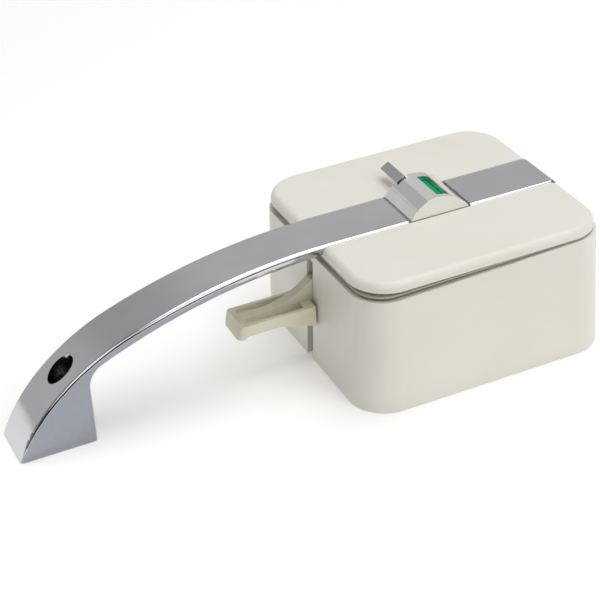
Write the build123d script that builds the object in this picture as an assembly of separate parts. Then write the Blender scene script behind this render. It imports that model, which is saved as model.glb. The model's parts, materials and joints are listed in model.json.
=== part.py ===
"""Surface-mounted lock handle: a box case with a latch, a bow pull, a finger trigger and a
thumb snib with a green and red indicator.

Frame: the origin is the centre of the case's back, in the mounting plane z = 0. +Z points out
of the door, +X runs along the handle towards the latch, and the bow's foot is at -X.
All sizes are in millimetres and degrees.
"""
import os
from math import atan2, cos, degrees, hypot, radians, sin, tan

from build123d import *

# ---------------------------------------------------------------- driving dimensions

# case and cover
CASE_LENGTH = 90.0  # along X, at the rim
CASE_WIDTH = 83.0  # along Y, at the rim
CASE_CORNER = 11.6
CASE_DRAFT = 2.5
RIM_HEIGHT = 42.5  # at the middle of the case
RIM_SLOPE = 1.67  # the rim rises towards the latch end
WALL = 2.6
DECK_BOTTOM = 39.0
DECK_TOP = 41.0
RIM_WIDTH = 2.0
COVER_EDGE = 44.6
COVER_TOP = 47.9
COVER_CORNER = 13.6
COVER_ROUND = 2.8
COVER_SKIN = 2.2
COVER_FLOOR = 43.6  # underside of the thick middle that carries the strip
SKIRT_WIDTH = 5.0
CHANNEL_FLOOR = 45.3

# bow handle and its strip across the cover
HANDLE_WIDTH = 19.8
STRIP_TOP = 48.3
STRIP_END = 45.2
SADDLE_TOP = 46.8
BOW_START = -42.0
BOW_ARCS = ((208.0, 20.3), (77.0, 23.3), (57.0, 27.4))  # radius and turn, from strip to foot
BOW_EDGE_ROUND = 1.4
UNDER_EDGE_ROUND = 1.8
BOW_UNDER_RADIUS = 200.0
BOW_UNDER_TOP = 44.3
FOOT_INNER = -127.2
FOOT_BORE_X = -134.0
FOOT_BORE_RADIUS = 2.6
FOOT_SEAT_RADIUS = 4.5
FOOT_SEAT_HEIGHT = 5.5

# snib: hood, drum and lever turn about one axis
SNIB_X = -2.0
SNIB_Z = 40.4
SNIB_SWING = 34.0
HOOD_LEFT = -11.8
HOOD_RIGHT = 9.7
HOOD_NEAR = -9.7
HOOD_FAR = 9.4
HOOD_RADIUS = 14.1
HOOD_BORE = 12.7
HOOD_WALL = 1.8
HOOD_GAP = 1.1  # between the hood and the strip at each end
HOOD_GROOVE = 0.55  # radius of the groove under the sloping side
DRUM_RADIUS = 12.3
DRUM_BORE = 1.55
AXLE_RADIUS = 1.5
AXLE_EAR_RADIUS = 3.6
WINDOW_ANGLES = (3.0, 22.0)
WINDOW_NEAR = -7.9
WINDOW_FAR = 6.2
CRANK_RADIUS = 8.0
CRANK_ANGLE = 37.0  # below horizontal, with the snib open
CRANK_PIN_RADIUS = 1.2
CRANK_BAR_HALF = 2.2
HUB_RADIUS = 3.6
DETENT_ANGLE = 188.0  # where the leaf's ridge meets the hub, from +Z towards +X
LABEL_THICKNESS = 0.15

# trigger
TRIGGER_X = -22.0
TRIGGER_Z = 29.0
TRIGGER_AXLE_RADIUS = 2.0
TRIGGER_HALF_WIDTH = 6.6
TRIGGER_TIP = -75.0
TRIGGER_ROOT = -46.8
ROOT_BOTTOM = 16.3
BLADE_TOP = 24.0
BLADE_BOTTOM = 20.0
LIP = 1.0
TIP_CORNER = 2.2
STEM_HALF = 1.85
LEG_PIN_X = -19.0
LEG_PIN_Z = 6.6
LEG_PIN_RADIUS = 1.5
SLOT_HALF = 2.25
SLOT_TOP = 38.4

# latch
PLATE = 1.5
LATCH_THROW = 6.0
SLIDE_BOTTOM = 1.9
SLIDE_TOP = 3.9
BOLT_HALF = 8.0
BOLT_TOP = 16.0
BOLT_BACK = 24.0
BOLT_CENTRE = 10.0
BOLT_RIVETS_X = (28.0, 34.0)
CLUTCH_PIN_X = -23.4
CLUTCH_PIN_Z = 13.0
CLUTCH_PIN_RADIUS = 1.1
DOG_SIDES = (-7.4, -4.2)
GAP = 0.3

# screws
INSERT_X = 34.0
INSERT_Y = 30.5
INSERT_RADIUS = 2.8
INSERT_DEPTH = 10.0
THREAD_RADIUS = 1.65  # tapping size of M4
POST_RADIUS = 4.5
CHASSIS_SCREW_X = 18.0
CHASSIS_SCREW_Y = 33.0
COVER_SCREW_X = 31.0
COVER_SCREW_Y = 20.0
HANDLE_SCREWS_X = (-32.0, -19.0, 28.0)
HOOD_SCREW_X = -10.6
HOOD_SCREWS_Y = (-4.5, 4.5)


# ---------------------------------------------------------------- small shape helpers

def block(x_span, y_span, z_span):
    """A box given by its lowest and highest coordinate on each axis."""
    spans = (x_span, y_span, z_span)
    middle = [(low + high) / 2 for low, high in spans]
    sizes = [high - low for low, high in spans]
    return Pos(*middle) * Box(*sizes)


def rod_x(y, z, radius, x_span):
    low, high = x_span
    return Pos((low + high) / 2, y, z) * Rot(0, 90, 0) * Cylinder(radius, high - low)


def rod_y(x, z, radius, y_span):
    low, high = y_span
    return Pos(x, (low + high) / 2, z) * Rot(90, 0, 0) * Cylinder(radius, high - low)


def rod_z(x, y, radius, z_span):
    low, high = z_span
    return Pos(x, y, (low + high) / 2) * Cylinder(radius, high - low)


def side_prism(face, y_span):
    """Extrude a face drawn in the XZ plane between two Y positions."""
    low, high = y_span
    placed = Pos(0, low, 0) * (Plane.XZ * face)
    return extrude(placed, amount=high - low, dir=(0, 1, 0))


def side_plate(points, y_span):
    return side_prism(make_face(Polyline(*points, close=True)), y_span)


def polar(angle, radius):
    """A point on the snib's circle: the angle runs from +Z towards +X."""
    return (SNIB_X + radius * sin(radians(angle)), SNIB_Z + radius * cos(radians(angle)))


def snib_sector(radii, angles, y_span):
    """A piece of ring about the snib's axis."""
    inner, outer = radii
    first, last = angles
    reach = 2 * outer
    corners = [polar(first, reach), polar((first + last) / 2, reach), polar(last, reach)]
    wedge = side_plate([(SNIB_X, SNIB_Z)] + corners, y_span)
    ring = rod_y(SNIB_X, SNIB_Z, outer, y_span) - rod_y(SNIB_X, SNIB_Z, inner, y_span)
    return ring & wedge


def snib_slab(heights, tangents, y_span):
    """A flat slab parallel to the hood's sloping side, by its distance from the snib's axis."""
    low, high = heights
    left, right = tangents
    tilt = hood_slope_angle()
    local = [(left, low), (right, low), (right, high), (left, high)]
    points = []
    for along, out in local:
        x = SNIB_X + along * cos(radians(tilt)) - out * sin(radians(tilt))
        z = SNIB_Z + along * sin(radians(tilt)) + out * cos(radians(tilt))
        points.append((x, z))
    return side_plate(points, y_span)


def at_corners(x, y):
    return [(sx * x, sy * y) for sx in (-1, 1) for sy in (-1, 1)]


def pan_screw(x, y, seat, head_radius, shank_radius, head, shank):
    """A pan-head screw entering upwards: its head is under the seat height."""
    under_seat = rod_z(x, y, head_radius, (seat - head, seat))
    return under_seat + rod_z(x, y, shank_radius, (seat, seat + shank))


def outline(inset, corner, z, height, draft=0.0):
    """A rounded plan outline of the case, drawn in from the rim and extruded upwards."""
    plan = RectangleRounded(CASE_LENGTH - 2 * inset, CASE_WIDTH - 2 * inset, corner - inset)
    return extrude(Pos(0, 0, z) * plan, amount=height, taper=draft)


def drafted(inset, z, height):
    """The case's drafted form between two heights, drawn in by a wall."""
    spread = (RIM_HEIGHT - z) * tan(radians(CASE_DRAFT))
    return outline(inset - spread, CASE_CORNER, z, height, CASE_DRAFT)


def above_slope(height, slope):
    """The space above a plane that rises towards +X by the given angle."""
    return Pos(0, 0, height) * Rot(0, -slope, 0) * Pos(0, 0, 15) * Box(200, 200, 30)


# ---------------------------------------------------------------- case

def base_case():
    shell = drafted(0, 0, RIM_HEIGHT + 2) - above_slope(RIM_HEIGHT, RIM_SLOPE)
    shell -= drafted(WALL, 0, DECK_BOTTOM)
    shell -= outline(RIM_WIDTH, CASE_CORNER, DECK_TOP, 10)
    for x, y in at_corners(INSERT_X, INSERT_Y):
        shell += rod_z(x, y, POST_RADIUS, (0, DECK_BOTTOM))
    for x, y in at_corners(CHASSIS_SCREW_X, CHASSIS_SCREW_Y):
        shell += rod_z(x, y, 3.5, (PLATE, DECK_BOTTOM))
        shell -= rod_z(x, y, 1.5, (PLATE, 12))
    for x, y in at_corners(INSERT_X, INSERT_Y):
        shell -= rod_z(x, y, INSERT_RADIUS, (0, INSERT_DEPTH))
    for x, y in at_corners(COVER_SCREW_X, COVER_SCREW_Y):
        shell -= rod_z(x, y, 1.7, (DECK_BOTTOM, DECK_TOP))
    shell -= block((-16, 19), (-16, 12.5), (DECK_BOTTOM, DECK_TOP))
    shell -= block((-60, -40), (-SLOT_HALF, SLOT_HALF), (-1, SLOT_TOP))
    bolt_half = BOLT_HALF + 0.4
    shell -= block((40, 60), (-bolt_half, bolt_half), (3.5, BOLT_TOP + 0.4))
    return shell


def seam_gasket():
    """The ring in the seam, with a bead that stands out halfway up the gap."""
    ring = outline(2.3, CASE_CORNER, DECK_TOP, COVER_EDGE - DECK_TOP)
    ring -= outline(4.3, CASE_CORNER, DECK_TOP, COVER_EDGE - DECK_TOP)
    bead_height = (RIM_HEIGHT + COVER_EDGE) / 2
    bead = outline(0.9, CASE_CORNER, DECK_TOP, 5) - outline(2.4, CASE_CORNER, DECK_TOP, 5)
    bead -= above_slope(bead_height + 0.35, RIM_SLOPE / 2)
    bead &= above_slope(bead_height - 0.35, RIM_SLOPE / 2)
    return ring + bead


def case_inserts():
    sleeves = Part()
    depth = (0, INSERT_DEPTH)
    for x, y in at_corners(INSERT_X, INSERT_Y):
        sleeves += rod_z(x, y, INSERT_RADIUS, depth) - rod_z(x, y, THREAD_RADIUS, depth)
    return sleeves


def chassis_plate():
    """The steel back plate, with two ears for the trigger's axle."""
    inset = WALL + 0.5
    plate = outline(inset, CASE_CORNER, 0, PLATE)
    for x, y in at_corners(INSERT_X, INSERT_Y):
        plate -= block((x - 5.2, x + 5.2), (y - 5.2, y + 5.2), (0, PLATE))
        corner_x = x + (5.2 if x > 0 else -5.2)
        corner_y = y + (5.2 if y > 0 else -5.2)
        plate -= Pos(corner_x, corner_y, PLATE / 2) * Box(10.4, 10.4, PLATE)
    plate -= block((-50, -38), (-4, 4), (0, PLATE))
    for side in (-1, 1):
        ear_sides = sorted((side * 12.5, side * 14))
        plate += side_plate([(-27, 0), (-17, 0), (-18, 33), (-26, 33)], ear_sides)
    plate -= rod_y(TRIGGER_X, TRIGGER_Z, TRIGGER_AXLE_RADIUS + 0.03, (-15, 15))
    for x, y in at_corners(CHASSIS_SCREW_X, CHASSIS_SCREW_Y):
        plate -= Pos(x, y, PLATE / 2) * Cone(3.0, 1.5, PLATE)
    for x, y in bridge_screw_places() + guide_screw_places() + column_screw_places():
        plate -= rod_z(x, y, 1.25, (0, PLATE))
    return plate


def chassis_screws():
    screws = Part()
    for x, y in at_corners(CHASSIS_SCREW_X, CHASSIS_SCREW_Y):
        screws += Pos(x, y, PLATE / 2) * Cone(3.0, 1.5, PLATE)
        screws += rod_z(x, y, 1.5, (PLATE, 11.5))
    return screws


# ---------------------------------------------------------------- cover and handle

def top_cover():
    slab = outline(0, COVER_CORNER, COVER_EDGE, COVER_TOP - COVER_EDGE)
    slab = fillet(slab.edges().group_by(Axis.Z)[-1], COVER_ROUND)
    under = COVER_TOP - COVER_SKIN
    slab -= outline(SKIRT_WIDTH, COVER_CORNER, COVER_EDGE, under - COVER_EDGE)
    inner = CASE_LENGTH / 2 - SKIRT_WIDTH
    slab += block((-inner, inner), (-16, 16), (COVER_FLOOR, under))
    for x, y in at_corners(COVER_SCREW_X, COVER_SCREW_Y):
        slab += rod_z(x, y, 3.4, (DECK_TOP, under))
        slab -= rod_z(x, y, 1.2, (DECK_TOP, COVER_EDGE))
    slab += axle_ear(-14.8, -12.7) + axle_ear(8.6, 10.7)
    slab += block((12, 17), (-4, 4), (35.6, COVER_FLOOR))
    slab -= rod_z(14.5, 0, 1.0, (35.6, 41))
    slab -= rod_y(SNIB_X, SNIB_Z, AXLE_RADIUS, (-16, 12))
    channel_half = HANDLE_WIDTH / 2 + 0.1
    slab -= block((-50, 50), (-channel_half, channel_half), (CHANNEL_FLOOR, 50))
    slab -= drum_opening(0.2)
    for x in HANDLE_SCREWS_X:
        slab -= rod_z(x, 0, 2.9, (COVER_FLOOR - 1, CHANNEL_FLOOR))
    for y in HOOD_SCREWS_Y:
        slab -= rod_z(HOOD_SCREW_X, y, 2.0, (COVER_FLOOR - 1, CHANNEL_FLOOR))
    return slab


def axle_ear(low, high):
    """A lug under the cover, round at the bottom, that carries one end of the snib's axle."""
    sides = (SNIB_X - AXLE_EAR_RADIUS, SNIB_X + AXLE_EAR_RADIUS)
    lug = rod_y(SNIB_X, SNIB_Z, AXLE_EAR_RADIUS, (low, high))
    return lug + block(sides, (low, high), (SNIB_Z, COVER_FLOOR))


def drum_opening(grow):
    return block((-9.4 - grow, 9.2 + grow), (-7.7 - grow, 7.7 + grow), (COVER_FLOOR - 1, 50))


def cover_screws():
    screws = Part()
    for x, y in at_corners(COVER_SCREW_X, COVER_SCREW_Y):
        screws += pan_screw(x, y, DECK_BOTTOM, 2.8, 1.2, 1.8, 5.0)
    return screws


def bow_outline():
    """The handle's outer side view: the strip, three tangent arcs of the bow, and the foot."""
    end_foot = (STRIP_END, STRIP_TOP - COVER_ROUND)
    end_arc = JernArc(end_foot, (0, 1), COVER_ROUND, 90)
    strip = Line(end_arc @ 1, (BOW_START, STRIP_TOP))
    edges = [end_arc, strip]
    start = strip @ 1
    heading = (-1, 0)
    for radius, turn in BOW_ARCS:
        arc = JernArc(start, heading, radius, turn)
        edges.append(arc)
        start = arc @ 1
        heading = arc % 1
    low = start.Y - 5
    edges.append(Polyline((start.X, start.Y), (start.X, low), (STRIP_END, low), end_foot))
    return make_face(edges)


def bow_handle():
    """One casting: the foot, the bow and the strip, which drops to a saddle under the hood."""
    half = HANDLE_WIDTH / 2
    body = side_prism(bow_outline(), (-half, half))
    body = fillet(curved_side_edges(body), BOW_EDGE_ROUND)
    body -= block((-200, 60), (-half - 1, half + 1), (-20, 0))
    under = Pos(BOW_START, 0, BOW_UNDER_TOP - BOW_UNDER_RADIUS) * Rot(90, 0, 0)
    below_bow = under * Cylinder(BOW_UNDER_RADIUS, HANDLE_WIDTH + 2)
    below_bow &= block((FOOT_INNER, BOW_START), (-half - 1, half + 1), (-1, BOW_UNDER_TOP))
    below_bow = fillet(below_bow.edges().filter_by(Axis.Y).group_by(Axis.X)[0].sort_by(Axis.Z)[-1], 8.0)
    body -= below_bow
    body = fillet(under_side_edges(body), UNDER_EDGE_ROUND)
    body -= block((BOW_START - 1, 60), (-half - 1, half + 1), (-1, BOW_UNDER_TOP))
    body -= block((-CASE_LENGTH / 2 - 0.4, 60), (-half - 1, half + 1), (-1, CHANNEL_FLOOR))
    body -= block((HOOD_LEFT - HOOD_GAP, HOOD_RIGHT + HOOD_GAP), (-half - 1, half + 1), (SADDLE_TOP, 60))
    body -= drum_opening(0)
    for x in HANDLE_SCREWS_X:
        body += rod_z(x, 0, 2.7, (COVER_FLOOR + 0.2, CHANNEL_FLOOR))
        body -= rod_z(x, 0, 1.25, (COVER_FLOOR, STRIP_TOP - 1.0))
    for y in HOOD_SCREWS_Y:
        body -= rod_z(HOOD_SCREW_X, y, 0.95, (40, SADDLE_TOP))
    body -= rod_z(FOOT_BORE_X, 0, FOOT_SEAT_RADIUS, (FOOT_SEAT_HEIGHT, 60))
    body -= rod_z(FOOT_BORE_X, 0, FOOT_BORE_RADIUS, (-1, 60))
    return body


def curved_side_edges(body):
    """The edges along the handle's outer curve, and along the top of the strip."""
    half = HANDLE_WIDTH / 2
    chosen = []
    for edge in body.edges():
        box = edge.bounding_box()
        on_side = abs(abs(box.min.Y) - half) < 0.01 and abs(box.size.Y) < 0.01
        on_curve = edge.geom_type != GeomType.LINE or box.min.Z > STRIP_TOP - 0.1
        if on_side and on_curve:
            chosen.append(edge)
    return chosen


def under_side_edges(body):
    """The curved edges on both sides of the bow's underside and the inside of the foot."""
    half = HANDLE_WIDTH / 2
    chosen = []
    for edge in body.edges():
        box = edge.bounding_box()
        on_side = abs(abs(box.min.Y) - half) < 0.01 and abs(box.size.Y) < 0.01
        inside = box.min.X > FOOT_INNER - 0.1 and box.max.X < BOW_START + 0.1
        if on_side and inside and box.max.Z < BOW_UNDER_TOP + 0.1:
            chosen.append(edge)
    return chosen


def handle_screws():
    screws = Part()
    for x in HANDLE_SCREWS_X:
        screws += pan_screw(x, 0, COVER_FLOOR, 3.6, 1.25, 1.9, 3.4)
    return screws


# ---------------------------------------------------------------- snib

def hood_slope_angle():
    """The tilt of the hood's sloping side, which the thumb lever lies parallel to."""
    low, high = hood_slope()
    return degrees(atan2(high[1] - low[1], high[0] - low[0]))


def hood_slope():
    """The lower and upper corner of the hood's sloping side."""
    return (-9.6, 51.6), (-5.6, 54.1)


def snib_hood():
    low, high = hood_slope()
    right_top = SNIB_Z + (HOOD_RADIUS ** 2 - (HOOD_RIGHT - SNIB_X) ** 2) ** 0.5
    crown = (SNIB_X + 2.5, SNIB_Z + (HOOD_RADIUS ** 2 - 2.5 ** 2) ** 0.5)
    ridge = (high[0], SNIB_Z + (HOOD_RADIUS ** 2 - (high[0] - SNIB_X) ** 2) ** 0.5)
    arc = ThreePointArc(ridge, crown, (HOOD_RIGHT, right_top))
    sides = Polyline((HOOD_RIGHT, right_top), (HOOD_RIGHT, SADDLE_TOP), (HOOD_LEFT, SADDLE_TOP),
                     (HOOD_LEFT, 48.3), low, ridge)
    hood = side_prism(make_face([arc, sides]), (HOOD_NEAR, HOOD_FAR))
    hood -= rod_y(low[0] - 0.1, low[1] + 0.1, HOOD_GROOVE, (HOOD_NEAR, HOOD_FAR))
    inside = (HOOD_NEAR + HOOD_WALL, HOOD_FAR - HOOD_WALL)
    hood -= rod_y(SNIB_X, SNIB_Z, HOOD_BORE, inside) & block((-9.4, 9.2), inside, (SADDLE_TOP, 60))
    hood -= snib_sector((9.8, HOOD_BORE), (-25, 34), (0, 12))
    hood -= snib_slab((10, 15), (1.4, 6.1), (HOOD_FAR - 2.1, 12))
    hood -= snib_sector((HOOD_BORE - 1, 16), WINDOW_ANGLES, (WINDOW_NEAR, WINDOW_FAR))
    for y in HOOD_SCREWS_Y:
        hood -= rod_z(HOOD_SCREW_X, y, 0.8, (SADDLE_TOP, 48.7))
    return hood


def hood_window():
    return snib_sector((HOOD_BORE + 0.05, HOOD_RADIUS - 0.15), WINDOW_ANGLES, (WINDOW_NEAR, WINDOW_FAR))


def hood_screws():
    screws = Part()
    for y in HOOD_SCREWS_Y:
        screws += pan_screw(HOOD_SCREW_X, y, CHANNEL_FLOOR, 1.6, 0.8, 1.0, 3.2)
    return screws


def indicator_drum():
    """A sector drum with two webs, a hub and a crank arm at its near end."""
    half = 7.4
    angles = (-34, 25)
    drum = snib_sector((DRUM_RADIUS - 1.8, DRUM_RADIUS), angles, (-half, half))
    near_web = (-half, -half + 1.5)
    for web in (near_web, (half - 1.5, half)):
        drum += snib_sector((2.0, DRUM_RADIUS - 1.0), angles, web)
    drum += rod_y(SNIB_X, SNIB_Z, HUB_RADIUS, (-half, half))
    pin_x, pin_z = crank_pin_place()
    drum += crank_bar(pin_x, pin_z, near_web)
    drum += rod_y(pin_x, pin_z, CRANK_PIN_RADIUS, (-12.2, -half + 1))
    drum -= rod_y(SNIB_X, SNIB_Z, DRUM_BORE, (-half - 1, half + 1))
    for angle in (DETENT_ANGLE, DETENT_ANGLE - SNIB_SWING):
        x, z = polar(angle, 4.2)
        drum -= rod_y(x, z, 1.0, (-2.6, 2.6))
    return drum


def crank_pin_place():
    """The crank pin's centre, behind and below the axle, with the snib open."""
    angle = radians(CRANK_ANGLE)
    return (SNIB_X - CRANK_RADIUS * cos(angle), SNIB_Z - CRANK_RADIUS * sin(angle))


def crank_bar(pin_x, pin_z, y_span):
    """The flat crank arm, from the axle to a round end at its pin."""
    length = hypot(pin_x - SNIB_X, pin_z - SNIB_Z)
    across_x = (pin_z - SNIB_Z) / length * CRANK_BAR_HALF
    across_z = -(pin_x - SNIB_X) / length * CRANK_BAR_HALF
    corners = [(SNIB_X + across_x, SNIB_Z + across_z), (SNIB_X - across_x, SNIB_Z - across_z),
               (pin_x - across_x, pin_z - across_z), (pin_x + across_x, pin_z + across_z)]
    return side_plate(corners, y_span) + rod_y(pin_x, pin_z, CRANK_BAR_HALF, y_span)


def indicator_label(angles):
    return snib_sector((DRUM_RADIUS, DRUM_RADIUS + LABEL_THICKNESS), angles, (-7.2, 7.2))


def thumb_lever():
    """The flat tab: it leaves the drum's far end through the hood and steps up outside it."""
    tangents = (1.9, 5.6)
    root = snib_slab((9.9, 11.2), tangents, (7.4, 11.4))
    riser = snib_slab((9.9, 12.7), tangents, (9.8, 11.4))
    tab = snib_slab((11.4, 12.7), tangents, (11.4, 21.8))
    return root + riser + tab


def snib_axle():
    return rod_y(SNIB_X, SNIB_Z, AXLE_RADIUS, (-15.2, 11.2))


def detent_spring():
    """A leaf under the drum's hub, with a ridge that drops into the hub's two grooves."""
    x, z = polar(DETENT_ANGLE, 4.2)
    leaf = block((-8, 17), (-2.4, 2.4), (35.0, 35.6)) - rod_z(14.5, 0, 1.1, (34, 36))
    ridge = rod_y(x, z - 0.25, 0.8, (-2.4, 2.4)) & block((-8, 4), (-3, 3), (35.0, 40))
    return leaf + ridge + block((x - 0.8, x + 0.8), (-2.4, 2.4), (35.0, z - 0.25))


def detent_screw():
    return pan_screw(14.5, 0, 35.0, 2.0, 1.0, 1.3, 5.0)


def lifter_plate():
    """A vertical plate that the crank pin raises, with a long slot for the clutch pin."""
    pin_x, pin_z = crank_pin_place()
    locked_x = SNIB_X - CRANK_RADIUS * cos(radians(CRANK_ANGLE - SNIB_SWING))
    sides = (-12, -10)
    plate = block((-13.4, -5.2), sides, (32.6, 38.4))
    plate += block((-13.4, -9.4), sides, (9.8, 34))
    plate += block((-33, -9.4), sides, (9.8, 16.2))
    slot = block((locked_x, pin_x), sides, (pin_z - 1.52, pin_z + 1.45))
    for x in (locked_x, pin_x):
        slot += rod_y(x, pin_z - 0.03, 1.5, sides)
    plate -= slot
    left = CLUTCH_PIN_X - LATCH_THROW
    long_slot = block((left, CLUTCH_PIN_X), sides, (CLUTCH_PIN_Z - 1.4, CLUTCH_PIN_Z + 1.4))
    for x in (left, CLUTCH_PIN_X):
        long_slot += rod_y(x, CLUTCH_PIN_Z, 1.4, sides)
    return plate - long_slot


def lifter_column():
    column = block((-15.8, -7.0), (-14.6, -12.3), (PLATE, 31))
    column += block((-15.8, -13.7), (-12.3, -9.8), (22, 31))
    column += block((-9.1, -7.0), (-12.3, -9.8), (22, 31))
    column += block((-15.8, -7.0), (-21, -14.6), (PLATE, 5))
    for x, y in column_screw_places():
        column -= rod_z(x, y, 1.25, (PLATE, 5))
    return column


def column_screw_places():
    return [(-13.5, -18.5), (-9.3, -18.5)]


# ---------------------------------------------------------------- trigger

def trigger_lever():
    """One moulding: the finger blade, the stem through the wall, the hub and the inner leg."""
    half = TRIGGER_HALF_WIDTH
    blade = trigger_blade(half)
    gusset_top = BLADE_BOTTOM + 0.1
    gusset = side_plate([(-60, gusset_top), (TRIGGER_ROOT, gusset_top), (TRIGGER_ROOT, ROOT_BOTTOM),
                         (-49.4, ROOT_BOTTOM + 0.7)], (-half, half))
    lever = blade + gusset
    for low, high in ((-5.3, -STEM_HALF), (STEM_HALF, 5.3)):
        lever -= recess(low, high)
    lever += stem()
    lever += rod_y(TRIGGER_X, TRIGGER_Z, 5.0, (-5, 5))
    lever += leg()
    lever -= rod_y(TRIGGER_X, TRIGGER_Z, TRIGGER_AXLE_RADIUS + 0.05, (-6, 6))
    lever -= rod_y(LEG_PIN_X, LEG_PIN_Z, LEG_PIN_RADIUS, (-3, 3))
    return lever


def trigger_blade(half):
    """The finger blade: its end face leans back, and its tip turns down as a small lip."""
    tip = TRIGGER_TIP
    lip_bottom = BLADE_BOTTOM - LIP
    profile = [(tip + 1.6, BLADE_TOP), (TRIGGER_ROOT, BLADE_TOP), (TRIGGER_ROOT, BLADE_BOTTOM),
               (tip + 4.0, BLADE_BOTTOM), (tip + 1.4, lip_bottom), (tip, lip_bottom)]
    blade = side_plate(profile, (-half, half))
    length = 2 * (TRIGGER_ROOT - tip)
    plan = Pos(tip + length / 2, 0, lip_bottom) * RectangleRounded(length, 2 * half, TIP_CORNER)
    return blade & extrude(plan, amount=BLADE_TOP - lip_bottom)


def recess(low, high):
    """A long pocket whose floor falls towards the wall."""
    left, right, above = -71.5, -50.5, BLADE_TOP + 1
    pocket = side_plate([(left, above), (left, BLADE_TOP - 1.0), (right, BLADE_TOP - 3.0), (right, above)],
                        (low, high))
    return fillet(pocket.edges().filter_by(Axis.Z).group_by(Axis.X)[0], 1.5)


def stem():
    """The web: a rib on the blade that sweeps up into the slot and runs back to the hub."""
    sweep = JernArc((-66, BLADE_TOP), (1, 0), 30.4, 41.15)
    top = sweep @ 1
    back = Polyline((top.X, top.Y), (-30, 33), (-21, 33.5), (-17.2, 29), (-19, 25), (-40, 17),
                    (-47, ROOT_BOTTOM), (-49.4, ROOT_BOTTOM + 0.7), (-60, BLADE_BOTTOM),
                    (-66, BLADE_BOTTOM), (-66, BLADE_TOP))
    return side_prism(make_face([sweep, back]), (-STEM_HALF, STEM_HALF))


def leg():
    shank = side_plate([(TRIGGER_X - 3.5, TRIGGER_Z), (TRIGGER_X + 4.5, TRIGGER_Z),
                        (LEG_PIN_X + 2.6, LEG_PIN_Z), (LEG_PIN_X - 2.6, LEG_PIN_Z)],
                       (-STEM_HALF, STEM_HALF))
    eye = rod_y(LEG_PIN_X, LEG_PIN_Z, 2.6, (-STEM_HALF, STEM_HALF))
    return shank + (eye & block((-30, 0), (-5, 5), (LEG_PIN_Z - 1.9, 20)))


def trigger_leg_pin():
    return rod_y(LEG_PIN_X, LEG_PIN_Z, LEG_PIN_RADIUS, (-7.6, STEM_HALF + 1))


def trigger_axle():
    return rod_y(TRIGGER_X, TRIGGER_Z, TRIGGER_AXLE_RADIUS, (-16, 16))


def axle_clips():
    clips = Part()
    for low, high in ((-15.2, -14.2), (14.2, 15.2)):
        ring = rod_y(TRIGGER_X, TRIGGER_Z, 4.0, (low, high))
        clips += ring - rod_y(TRIGGER_X, TRIGGER_Z, TRIGGER_AXLE_RADIUS, (low, high))
    return clips


def trigger_spring():
    """The torsion spring's space: its coil around the axle, and its two straight ends."""
    coil = rod_y(TRIGGER_X, TRIGGER_Z, 4.2, (5.4, 10.4)) - rod_y(TRIGGER_X, TRIGGER_Z, 3.2, (5.4, 10.4))
    fixed_end = block((-18.8, -17.8), (9.4, 10.4), (PLATE, TRIGGER_Z))
    lever_end = rod_x(5.9, 25.3, 0.5, (-34, TRIGGER_X))
    return coil + fixed_end + lever_end


# ---------------------------------------------------------------- latch

def latch_slide():
    bar = block((-31, 36), (-7.8, 7.8), (SLIDE_BOTTOM, SLIDE_TOP))
    bar += block((-31, -20), (-9.4, -7.8), (SLIDE_BOTTOM, SLIDE_TOP))
    for x in BOLT_RIVETS_X:
        bar -= rod_z(x, 0, 1.5, (SLIDE_BOTTOM, SLIDE_TOP))
    for x, y in clutch_rivet_places():
        bar -= rod_z(x, y, 1.0, (SLIDE_BOTTOM, SLIDE_TOP))
    return bar


def latch_bolt():
    """The spring bolt, bevelled on the side that meets the keeper first."""
    face = case_face(BOLT_CENTRE)
    tip = face + LATCH_THROW
    points = [(BOLT_BACK, SLIDE_TOP), (face + 0.3, SLIDE_TOP), (tip, 12), (tip, BOLT_TOP),
              (BOLT_BACK, BOLT_TOP)]
    bolt = side_plate(points, (-BOLT_HALF, BOLT_HALF))
    for x in BOLT_RIVETS_X:
        bolt -= rod_z(x, 0, 1.5, (SLIDE_TOP, 9))
    return bolt - rod_x(0, BOLT_CENTRE, 4.2, (BOLT_BACK, BOLT_BACK + 1.5))


def case_face(z):
    """The case's outer face at a height, as a distance from its centre plane."""
    return CASE_LENGTH / 2 + (RIM_HEIGHT - z) * tan(radians(CASE_DRAFT))


def bolt_rivets():
    rivets = Part()
    for x in BOLT_RIVETS_X:
        rivets += rod_z(x, 0, 1.5, (SLIDE_BOTTOM, 9))
    return rivets


def clutch_guide():
    """The block on the slide that carries the clutch dog and lets it rise."""
    near = (-9.4, DOG_SIDES[0] - GAP)
    far = (DOG_SIDES[1] + GAP, -2.4)
    guide = block((-31, -26.3), (-9.4, -2.4), (SLIDE_TOP, 17.5))
    guide += block((-26.3, -20.8), near, (10, 17.5))
    guide += block((-26.3, -20.8), far, (10, 17.5))
    guide -= block((CLUTCH_PIN_X - 1.4, CLUTCH_PIN_X + 1.4), near, (11.6, 18))
    for x, y in clutch_rivet_places():
        guide -= rod_z(x, y, 1.0, (SLIDE_TOP, 8))
    return guide


def clutch_rivet_places():
    return [(-28.7, -7.4), (-28.7, -4.4)]


def clutch_rivets():
    rivets = Part()
    for x, y in clutch_rivet_places():
        rivets += rod_z(x, y, 1.0, (SLIDE_BOTTOM, 8))
    return rivets


def clutch_dog():
    """The sliding block between the trigger's leg pin and the latch slide."""
    dog = block((-26.0, -20.8), DOG_SIDES, (4.2, 16.5))
    return dog - rod_y(CLUTCH_PIN_X, CLUTCH_PIN_Z, CLUTCH_PIN_RADIUS, DOG_SIDES)


def clutch_pin():
    return rod_y(CLUTCH_PIN_X, CLUTCH_PIN_Z, CLUTCH_PIN_RADIUS, (-11.9, DOG_SIDES[1]))


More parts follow.
